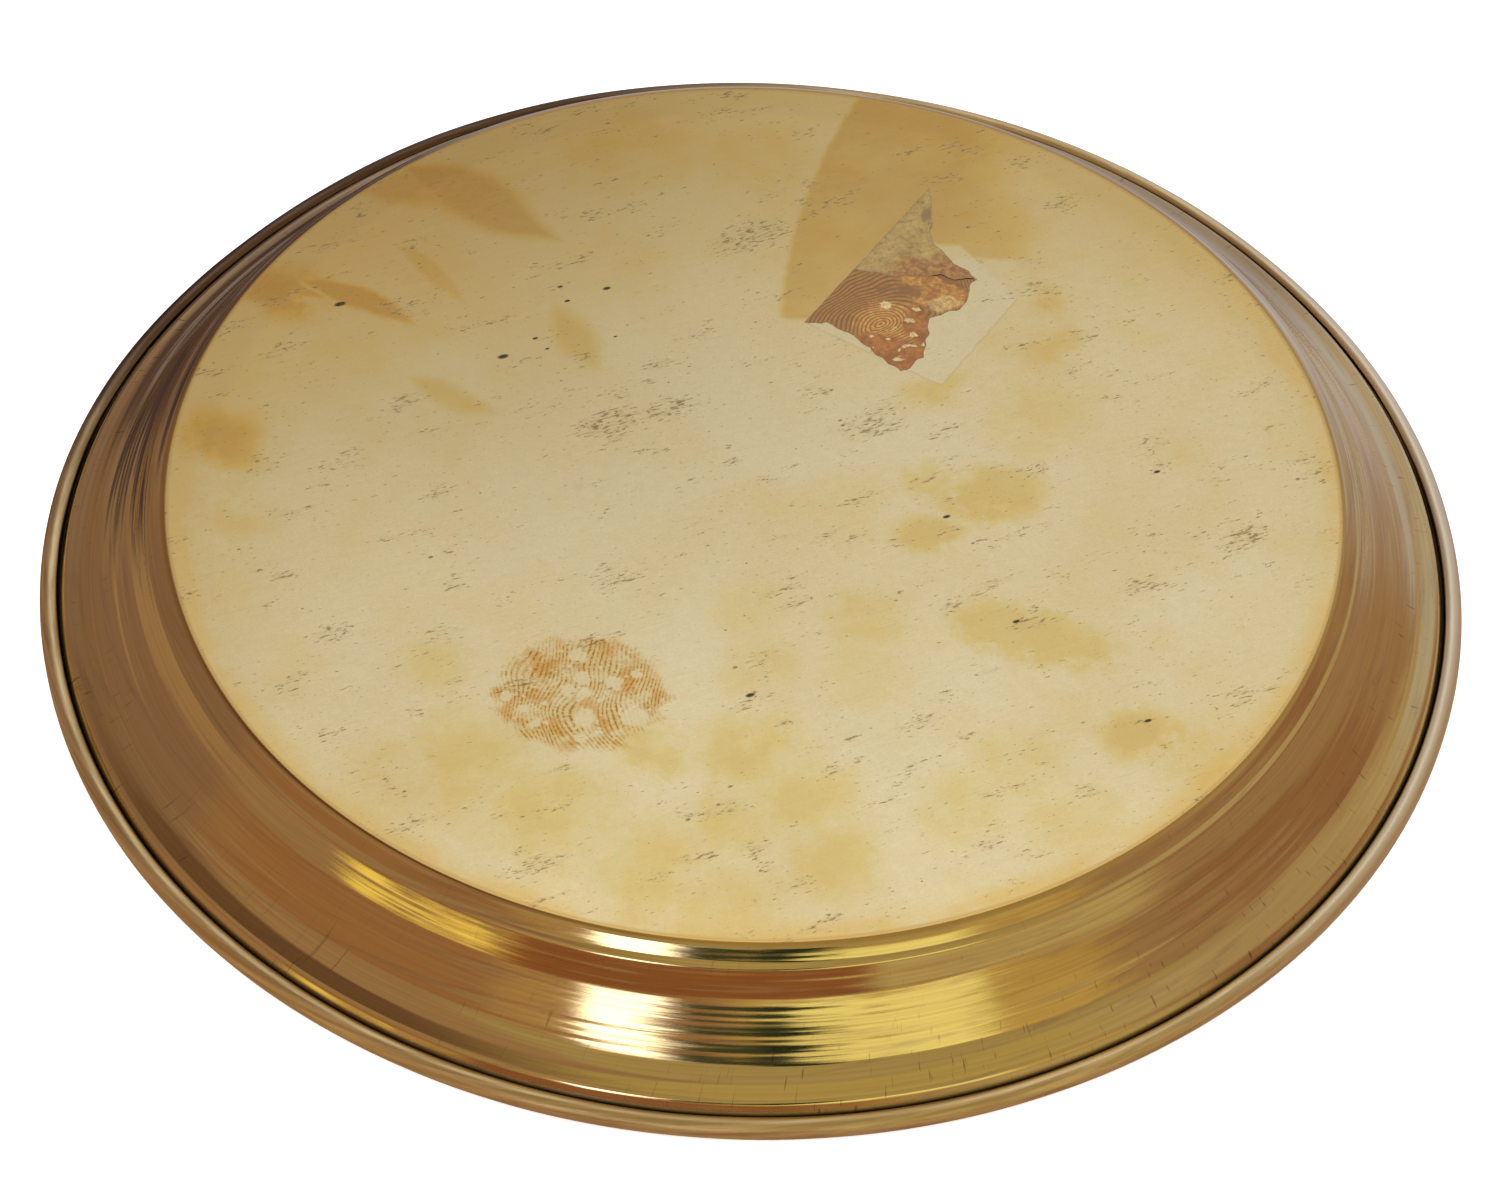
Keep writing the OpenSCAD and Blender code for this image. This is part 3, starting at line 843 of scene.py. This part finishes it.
def wall_material():
    mat, n = material("aged_brass_wall")
    c = coordinates(n)
    c.profile = n.add("ShaderNodeCombineXYZ", X=c.r, Y=c.z).outputs[0]
    c.heading = n.vmath("NORMALIZE", c.flat)
    lines = ring_noise(n, c, 3.2, 1.4, 4, 0.65)
    colour = wall_colour(n, c, lines)
    # painted shade in the groove between flange and roll, nearly black; only the near side lies open enough
    # to show it black
    rim_r = true_radius(n, c)
    groove = n.both(n.ramp(rim_r, 77.15, 77.5), n.ramp(rim_r, 78.4, 78.0), n.ramp(c.z, 2.35, 1.6))
    dirt_and_painted_shade = n.times(groove, n.ramp(c.y, 30.0, 8.0))
    bead = n.times(n.ramp(rim_r, 77.7, 78.3), n.ramp(c.z, 2.6, 2.3))
    colour = n.mix(bead, colour, bead_colour(n, c))
    # the groove's painted shade, nearly black
    colour = n.mix(n.times(dirt_and_painted_shade, 0.97), colour, (0.03, 0.018, 0.01))
    # painted shade: the dark amber line of the bend, continued on the wall side
    painted_edge_shade = n.times(n.ramp(c.r, EDGE_LINE + 0.5, EDGE_LINE), n.ramp(c.z, 12.4, 12.7))
    colour = n.mix(n.times(painted_edge_shade, 0.75), colour, (0.60, 0.36, 0.10))
    rough = n.ramp(lines, 0.3, 0.7, 0.05, 0.12, "LINEAR")
    rough = n.plus(n.plus(rough, n.times(groove, 0.5)), n.times(bead, 0.34))
    bump = n.add("ShaderNodeBump", Strength=0.35, Distance=0.000016)
    n.put(bump.inputs["Height"], lines)
    metal(n, colour, rough, bump.outputs[0])
    return mat


dish.data.materials.append(base_material())
dish.data.materials.append(wall_material())
for face in dish.data.polygons:
    within = math.hypot(face.center.x, face.center.y) < EDGE_LINE * MM
    face.material_index = 0 if within and face.center.z > BASE_FLOOR * MM else 1


# -------- finishes of the small pieces
def finish(n, colour, rough, metallic=0.0, normal=None, clear=None, gloss=0.5):
    """Plain surface of a small piece; `clear` is how much light goes straight through it."""
    bsdf = n.add("ShaderNodeBsdfPrincipled", Specular_IOR_Level=gloss)
    inputs = {"Base Color": colour, "Roughness": rough, "Metallic": metallic, "Normal": normal}
    for key, value in inputs.items():
        if value is not None:
            n.put(bsdf.inputs[key], value)
    shader = bsdf.outputs[0]
    if clear is not None:
        see = n.add("ShaderNodeBsdfTransparent")
        both = n.add("ShaderNodeMixShader")
        n.put(both.inputs[0], clear)
        n.tree.links.new(shader, both.inputs[1])
        n.tree.links.new(see.outputs[0], both.inputs[2])
        shader = both.outputs[0]
    n.surface(shader)


def wire_material():
    mat, n = material("old_wire")
    dirt_and_painted_shade = n.noise(coordinates(n).full, 1.2, 4, 0.6)
    colour = n.mix(n.ramp(dirt_and_painted_shade, 0.35, 0.65), (0.20, 0.17, 0.13), (0.08, 0.06, 0.04))
    finish(n, colour, n.ramp(dirt_and_painted_shade, 0.3, 0.7, 0.4, 0.6), 1.0)
    return mat


def film_material():
    mat, n = material("yellowed_film")
    flat = coordinates(n).flat
    uv = n.add("ShaderNodeSeparateXYZ", Vector=label_frame(n, flat))
    u, v = uv.outputs[0], uv.outputs[1]
    to_edge = n.add("ShaderNodeAttribute", {"attribute_name": "to_edge"}).outputs["Fac"]
    cloudy = n.noise(flat, 0.45, 4, 0.6)
    mottle = n.noise(flat, 1.5, 4, 0.7)
    colour = n.mix(n.ramp(cloudy, 0.35, 0.65), (0.41, 0.287, 0.092), (0.325, 0.222, 0.066))
    colour = n.mix(n.ramp(mottle, 0.35, 0.65, 0.0, 0.65, "LINEAR"), colour, (0.235, 0.148, 0.052))
    # brown smear along the tear
    low = n.minus(u, n.times(v, 0.52))
    smear = n.plus(n.ramp(low, 17.5, 11.5), n.times(n.minus(cloudy, 0.5), 1.6))
    smear = n.times(n.ramp(smear, 0.2, 0.9), n.ramp(v, 2.0, 5.0))
    brown = n.mix(n.ramp(mottle, 0.4, 0.6), (0.28, 0.125, 0.036), (0.155, 0.062, 0.022))
    colour = n.mix(n.times(smear, 0.85), colour, brown)
    tip = n.blot(flat, (18.4, 43.6), (0.8, 1.5), -10, 0.5)
    dirt_and_painted_shade = n.times(n.ramp(n.noise(flat, 1.1, 3, 0.6), 0.56, 0.64), 0.6)
    colour = n.mix(n.math("MAXIMUM", n.times(tip, 0.7), dirt_and_painted_shade), colour, (0.18, 0.105, 0.045))
    cut = n.ramp(to_edge, 0.32, 0.04)
    colour = n.mix(n.times(cut, 0.6), colour, (0.175, 0.106, 0.045))
    clear = n.times(n.minus(1.0, n.math("MAXIMUM", smear, cut)), 0.22)
    finish(n, colour, n.ramp(cloudy, 0.3, 0.7, 0.3, 0.5), clear=clear, gloss=0.3)
    return mat


BROWN_FILMS = [  # places on the adhesive, mm: centre, half sizes, direction
    ((14.6, 20.6), (5.4, 2.8), -20), ((17.8, 24.6), (2.0, 4.2), 10), ((16.0, 18.2), (2.4, 1.6), 0),
]
SOOT = [((16.4, 30.4), (2.2, 1.4), 0), ((13.6, 31.0), (1.6, 0.8), 20), ((21.0, 32.6), (3.4, 0.6), -30)]
HOLES = [  # brass shows through: centre, half sizes
    ((16.7, 21.4), (0.7, 0.5)), ((12.4, 22.6), (0.45, 0.45)), ((14.3, 22.5), (0.5, 0.5)),
    ((15.7, 19.4), (0.7, 0.4)), ((16.8, 25.9), (0.5, 0.5)), ((13.7, 27.6), (0.9, 0.8)),
    ((18.3, 21.8), (0.4, 0.55)), ((16.9, 23.2), (0.4, 0.4)), ((17.6, 27.4), (0.5, 0.4)),
    ((14.9, 24.1), (0.5, 0.35)), ((13.0, 21.0), (0.35, 0.3)), ((15.5, 21.0), (0.3, 0.3)),
]


def glue_material():
    mat, n = material("old_adhesive")
    flat = coordinates(n).flat
    to_edge = n.add("ShaderNodeAttribute", {"attribute_name": "to_edge"}).outputs["Fac"]
    uneven = n.drift(flat, n.wobble(flat, 0.6, 3, 0.6), 3.0)
    ridges, _ = whorl(n, flat, (13.4, 24.6), (9, 9), 0.45, -35, 11.0)
    cloudy = n.noise(flat, 0.5, 4, 0.65)
    colour = n.mix(ridges, (0.265, 0.135, 0.042), (0.145, 0.066, 0.021))
    middle = n.blot(uneven, (14.5, 25.0), (5.2, 4.4), 20, 0.4)
    colour = n.mix(middle, colour, n.mix(ridges, (0.41, 0.22, 0.062), (0.235, 0.092, 0.022)))
    solid = n.most(n.blot(uneven, at, size, turn, 0.35) for at, size, turn in BROWN_FILMS)
    brown = n.mix(n.ramp(cloudy, 0.4, 0.6), (0.31, 0.118, 0.033), (0.205, 0.076, 0.024))
    colour = n.mix(solid, colour, brown)
    upper = n.blot(uneven, (19.5, 30.6), (5.6, 3.4), -30, 0.35)
    amber = n.mix(n.ramp(cloudy, 0.38, 0.62), (0.40, 0.20, 0.046), (0.265, 0.112, 0.032))
    colour = n.mix(upper, colour, amber)
    sooty = n.most(n.blot(uneven, at, size, turn, 0.5) for at, size, turn in SOOT)
    colour = n.mix(n.times(sooty, 0.8), colour, (0.165, 0.082, 0.034))
    holes = n.most(n.blot(uneven, at, size, 0, 0.4) for at, size in HOLES)
    worn_thin = n.times(n.blot(uneven, (20.6, 28.6), (2.6, 1.6), 10, 0.5), 0.45)
    holes = n.math("MAXIMUM", holes, worn_thin)
    colour = n.mix(holes, colour, (0.50, 0.395, 0.18))
    speckle = n.ramp(n.noise(flat, 2.0, 3, 0.7), 0.38, 0.66, 0.0, 0.62, "LINEAR")
    colour = n.mix(speckle, colour, (0.17, 0.085, 0.028))
    colour = n.mix(n.times(n.ramp(to_edge, 0.35, 0.0), 0.5), colour, (0.193, 0.105, 0.052))
    bump = n.add("ShaderNodeBump", Strength=0.4, Distance=0.00002)
    n.put(bump.inputs["Height"], n.minus(n.times(ridges, 0.6), holes))
    finish(n, colour, n.ramp(cloudy, 0.3, 0.7, 0.4, 0.65), normal=bump.outputs[0], gloss=0.2)
    return mat


wire.data.materials.append(wire_material())
film.data.materials.append(film_material())
glue.data.materials.append(glue_material())


# -------- floor
def build_floor():
    """Pale floor a hair under the rim, a little lit from within so that it shows no shadow."""
    mesh = bpy.data.meshes.new("floor")
    s, z = 3.0, -0.00005  # metres
    mesh.from_pydata([(-s, -s, z), (s, -s, z), (s, s, z), (-s, s, z)], [], [(0, 1, 2, 3)])
    obj = link("floor", mesh)
    mat, n = material("floor_white")
    bsdf = n.add("ShaderNodeBsdfDiffuse", Color=(0.93, 0.93, 0.93, 1))
    lit = n.add("ShaderNodeEmission", Strength=0.45)
    total = n.add("ShaderNodeAddShader")
    n.tree.links.new(bsdf.outputs[0], total.inputs[0])
    n.tree.links.new(lit.outputs[0], total.inputs[1])
    n.surface(total.outputs[0])
    mesh.materials.append(mat)
    obj.visible_glossy = False


build_floor()


# -------- surroundings
# What polished brass mirrors: a dim brown room, a pale softbox beyond the dish and a few bright and dark
# panels near the camera. (azimuth, elevation, half widths, softness, colour) in degrees, painted one over
# another.
ROOM = (0.36, 0.235, 0.155)
PANELS = [
    (88, -5, 36, 70, 42, (0.56, 0.55, 0.68)),
    (60, 9, 18, 10, 14, (0.54, 0.57, 0.76)),
    (0, 12, 22, 9, 10, (0.31, 0.17, 0.11)),
    (150, 12, 35, 18, 10, (0.27, 0.17, 0.13)),
    (118, 8, 13, 14, 8, (0.11, 0.075, 0.08)),
    (165, -20, 18, 10, 10, (0.37, 0.24, 0.15)),
    (122, -30, 20, 20, 14, (0.065, 0.04, 0.045)),
    (50, 58, 55, 30, 25, (0.48, 0.39, 0.26)),
    (58, 38, 13, 8, 10, (0.50, 0.48, 0.50)),
    (148, 40, 26, 12, 12, (0.26, 0.17, 0.125)),
    (88, 54, 20, 18, 16, (0.42, 0.41, 0.42)),
    (80, 50, 12, 16, 10, (0.68, 0.67, 0.68)),
    (90, 56, 20, 9, 7, (1.30, 1.31, 1.30)),
    (60, 80, 80, 12, 8, (0.48, 0.39, 0.18)),
    (122, 34, 10, 10, 10, (0.27, 0.185, 0.17)),
    (138, 62, 20, 14, 14, (0.16, 0.09, 0.06)),
    (-72, 76, 66, 34, 14, (0.43, 0.35, 0.19)),
    (-135, 20, 40, 12, 14, (0.34, 0.18, 0.10)),
    (-60, 30, 30, 14, 10, (0.55, 0.40, 0.16)),
    (-134, 2, 18, 5, 5, (1.04, 0.84, 0.24)),
    (-52, 1, 28, 12, 12, (0.52, 0.43, 0.25)),
    (-97, 5, 28, 10, 5, (0.28, 0.115, 0.055)),
    (-116, 32, 10, 8, 8, (0.46, 0.30, 0.15)),
    (-66, 30, 16, 9, 3, (0.98, 0.93, 0.47)),
    (-91, 36, 9, 6, 4, (0.05, 0.065, 0.04)),
    (-80, 42, 6, 7, 2, (0.02, 0.03, 0.025)),
    (-107, 33, 6, 9, 2, (2.9, 2.9, 3.3)),
]


RAGGED_AZ, RAGGED_EL = 26.0, 42.0  # how far the panels' sides wander, degrees


def build_world():
    """White for the camera and for soft light, the room and its panels for mirror images."""
    world = bpy.data.worlds.new("room")
    bpy.context.scene.world = world
    world.use_nodes = True
    world.cycles.sampling_method = "NONE"
    n = Nodes(world.node_tree)
    d = n.add("ShaderNodeSeparateXYZ", Vector=n.add("ShaderNodeTexCoord").outputs["Generated"])
    deg = 180 / math.pi
    az = n.times(n.math("ARCTAN2", d.outputs[1], d.outputs[0]), deg)
    el = n.times(n.math("ARCSINE", d.outputs[2]), deg)
    # things in the room have ragged sides: shift the azimuth by a noise that changes fast with elevation
    place = n.add("ShaderNodeCombineXYZ", X=n.times(az, 0.05), Y=n.times(el, 0.35))
    ragged = n.minus(n.noise(place.outputs[0], 1.0, 4, 0.7), 0.5)
    az = n.plus(az, n.times(ragged, RAGGED_AZ))
    across = n.add("ShaderNodeCombineXYZ", X=n.times(az, 0.09), Y=n.times(el, 0.18), Z=7.0)
    uneven = n.minus(n.noise(across.outputs[0], 1.0, 4, 0.7), 0.5)
    low = n.ramp(el, 42.0, 30.0)
    el = n.plus(el, n.times(n.times(uneven, low), RAGGED_EL))
    colour = (*ROOM, 1.0)
    for a, e, wa, we, soft, col in PANELS:
        da = n.math("ABSOLUTE", n.math("WRAP", n.minus(az, a), 180, -180))
        de = n.math("ABSOLUTE", n.minus(el, e))
        fa = n.ramp(da, wa + soft / 2, wa - soft / 2)
        fe = n.ramp(de, we + soft / 2, we - soft / 2)
        colour = n.mix(n.times(fa, fe), colour, col)
    path = n.add("ShaderNodeLightPath")
    seen = n.add("ShaderNodeBackground", Strength=1.0)
    n.put(seen.inputs[0], colour)
    flat = n.add("ShaderNodeBackground", Color=(1, 1, 1, 1), Strength=1.45)
    plainly = n.math("MAXIMUM", path.outputs["Is Camera Ray"], path.outputs["Is Diffuse Ray"])
    both = n.add("ShaderNodeMixShader")
    n.put(both.inputs[0], plainly)
    n.tree.links.new(seen.outputs[0], both.inputs[1])
    n.tree.links.new(flat.outputs[0], both.inputs[2])
    out = n.add("ShaderNodeOutputWorld")
    n.tree.links.new(both.outputs[0], out.inputs[0])


build_world()


def build_light():
    lamp = bpy.data.lights.new("softbox", "AREA")
    lamp.size = 0.9
    lamp.energy = 1.2
    obj = link("softbox", lamp)
    obj.location = (0.1, 0.5, 1.0)
    obj.rotation_euler = (-Vector(obj.location)).to_track_quat("-Z", "Y").to_euler()
    obj.visible_glossy = False


build_light()


# -------- camera
# Aim and distance are in rim radii, so the view keeps its framing if the dish's size changes.
CAMERA_ELEVATION, CAMERA_ROLL = 48.46, 2.572
CAMERA_AIM, CAMERA_DISTANCE = (0.0666, -0.1556, 0), 5.3375
CAMERA_LENS, CAMERA_SHIFT = 92.03, (-0.0312, 0.0255)


def build_camera():
    elevation, roll = math.radians(CAMERA_ELEVATION), math.radians(CAMERA_ROLL)
    aim = Vector(CAMERA_AIM) * RIM_R * MM
    back = Vector((0, -math.cos(elevation), math.sin(elevation)))
    right, up = Vector((1, 0, 0)), back.cross(Vector((1, 0, 0)))
    x = right * math.cos(roll) + up * math.sin(roll)
    y = up * math.cos(roll) - right * math.sin(roll)
    cam = bpy.data.cameras.new("camera")
    cam.sensor_width = 36.0
    cam.lens = CAMERA_LENS
    cam.shift_x, cam.shift_y = CAMERA_SHIFT
    obj = link("camera", cam)
    pose = Matrix((x, y, back)).transposed().to_4x4()
    pose.translation = aim + back * (CAMERA_DISTANCE * RIM_R * MM)
    obj.matrix_world = pose
    cam.clip_start, cam.clip_end = 0.01, 20
    bpy.context.scene.camera = obj


build_camera()
bpy.context.scene.view_settings.view_transform = "Standard"
bpy.context.scene.view_settings.look = "None"
